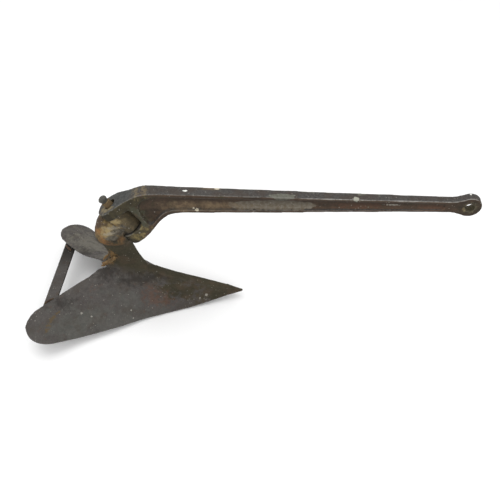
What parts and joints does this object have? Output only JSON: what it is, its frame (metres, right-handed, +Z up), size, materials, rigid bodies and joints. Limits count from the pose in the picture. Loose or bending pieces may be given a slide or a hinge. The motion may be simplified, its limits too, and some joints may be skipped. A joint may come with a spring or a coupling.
{
  "type": "boat anchor",
  "caption": "Hinged plough anchor with a forged I-section shank, an inclined hinge pin and curved plough plates joined by a brace bar.",
  "frame": {"origin": "on the ground plane under the middle of the anchor, with the plough centred on its hinge", "axes": "+X runs along the shank towards the shackle eye, +Y across the plough to its left side, +Z up"},
  "size_m": [0.9216, 0.352, 0.3259],
  "materials": {
    "shank_steel": "worn galvanised forging with brown rust and old paint",
    "horn_steel": "forged steel with ochre rust scale",
    "plate_steel": "dull purplish brown oxide with fine light speckle",
    "brace_steel": "dull brown oxide",
    "pin_steel": "orange brown rust",
    "cap_steel": "grey hammered end",
    "weld_steel": "rusty weld bead"
  },
  "bodies": {
    "shank_body": {"shank": "shank_steel", "hinge_pin": "pin_steel", "pin_cap": "cap_steel"},
    "plough_body": {"horn": "horn_steel", "plate_left": "plate_steel", "plate_right": "plate_steel", "brace": "brace_steel", "heel_weld_left": "weld_steel", "heel_weld_right": "weld_steel", "brace_weld_left": "weld_steel", "brace_weld_right": "weld_steel"}
  },
  "joints": [
    {"name": "plough_swing", "type": "hinge", "parent": "shank_body", "child": "plough_body", "pos_m": [-0.23759, 0, 0.24686], "axis": [-0.5592, 0, 0.829], "range_deg": [-65, 65]}
  ]
}
